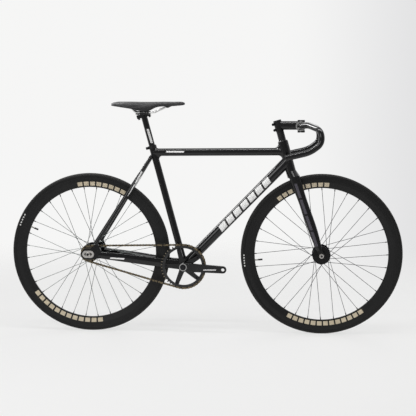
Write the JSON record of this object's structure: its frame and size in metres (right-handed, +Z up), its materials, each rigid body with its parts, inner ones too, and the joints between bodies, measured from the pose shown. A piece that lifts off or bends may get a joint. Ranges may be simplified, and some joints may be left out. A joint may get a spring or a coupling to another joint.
{
  "type": "fixed gear bicycle",
  "caption": "Track bicycle with a fixed rear cog, drop handlebar, deep rims and bare crank arms, ridden on the road or on a velodrome.",
  "frame": {"origin": "on the ground midway between the wheels, in the bike's middle plane", "axes": "+X forward, +Y to the rider's left, +Z up"},
  "size_m": [1.633, 0.3638, 0.9648],
  "materials": {
    "frame_paint": "gloss",
    "black_alloy": "satin",
    "tyre_rubber": "matte",
    "tube_rubber": "matte",
    "dark_spoke": "satin",
    "bright_spoke": "satin",
    "steel": "satin",
    "black_steel": "satin",
    "polished_steel": "polished",
    "chain_steel": "satin",
    "saddle_cover": "satin",
    "black_plastic": "matte"
  },
  "bodies": {
    "frame": {"head_tube": "frame_paint", "headset_bearings": "steel", "top_tube": "frame_paint", "down_tube": "frame_paint", "seat_tube": "frame_paint", "bottom_bracket_shell": "frame_paint", "bottom_bracket_cups": "black_alloy", "seat_stays": "frame_paint", "chain_stays": "frame_paint", "dropouts": "frame_paint", "dropout_face_plates": "polished_steel", "seat_collar": "black_alloy", "seat_collar_bolt": "black_steel", "rear_axle": "steel", "rear_axle_nuts": "polished_steel", "chain_inner_links": "chain_steel", "chain_outer_links": "chain_steel"},
    "fork": {"fork_steerer": "frame_paint", "fork_crown": "frame_paint", "fork_blades": "frame_paint", "headset_cover": "black_alloy", "headset_spacers": "black_alloy", "stem": "black_alloy", "stem_faceplate": "black_alloy", "stem_bolts": "black_steel", "top_cap": "black_alloy", "top_cap_bolt": "black_steel", "front_axle": "steel", "front_axle_nuts": "polished_steel"},
    "handlebar": {"handlebar": "black_alloy", "bar_end_plugs": "black_plastic"},
    "front_wheel": {"front_rim": "black_alloy", "front_tyre": "tyre_rubber", "front_inner_tube": "tube_rubber", "front_spokes": "dark_spoke", "front_nipples": "black_alloy", "front_hub_shell": "black_alloy", "front_hub_bearings": "steel"},
    "rear_wheel": {"rear_rim": "black_alloy", "rear_tyre": "tyre_rubber", "rear_inner_tube": "tube_rubber", "rear_spokes": "bright_spoke", "rear_nipples": "black_alloy", "rear_hub_shell": "black_alloy", "rear_hub_bearings": "steel", "rear_cog": "steel", "rear_lockring": "steel"},
    "crankset": {"right_crank": "black_alloy", "left_crank": "black_alloy", "chainring": "black_alloy", "chainring_bolts": "black_steel", "crank_spindle": "steel", "crank_bolts": "black_steel"},
    "seatpost": {"seatpost": "black_alloy", "rail_clamp_lower": "black_alloy", "rail_clamp_upper": "black_alloy", "rail_clamp_bolts": "black_steel"},
    "saddle": {"saddle_cover": "saddle_cover", "saddle_shell": "black_plastic", "saddle_rails": "steel"}
  },
  "joints": [
    {"name": "steering", "type": "hinge", "parent": "frame", "child": "fork", "pos_m": [0.35446, 0, 0.67934], "axis": [-0.2672, 0, 0.9636], "range_deg": [-70, 70]},
    {"name": "front_wheel_spin", "type": "hinge", "parent": "fork", "child": "front_wheel", "pos_m": [0.4825, 0, 0.334], "axis": [0, 1, 0], "continuous": true},
    {"name": "rear_wheel_spin", "type": "hinge", "parent": "frame", "child": "rear_wheel", "pos_m": [-0.4825, 0, 0.334], "axis": [0, 1, 0], "continuous": true, "deforming": ["chain_inner_links", "chain_outer_links"]},
    {"name": "crank_spin", "type": "hinge", "parent": "frame", "child": "crankset", "pos_m": [-0.08686, 0, 0.283], "axis": [0, 1, 0], "continuous": true},
    {"name": "bar_tilt", "type": "hinge", "parent": "fork", "child": "handlebar", "pos_m": [0.39394, 0, 0.8633], "axis": [0, 1, 0], "range_deg": [-15, 15]},
    {"name": "seatpost_height", "type": "slide", "parent": "frame", "child": "seatpost", "axis": [-0.2588, 0, 0.9659], "range_m": [-0.06, 0.04]},
    {"name": "saddle_slide", "type": "slide", "parent": "seatpost", "child": "saddle", "axis": [1, 0, 0], "range_m": [-0.012, 0.012]}
  ],
  "couplings": [
    {"joint": "crank_spin", "follows": "rear_wheel_spin", "ratio": 0.35556}
  ]
}
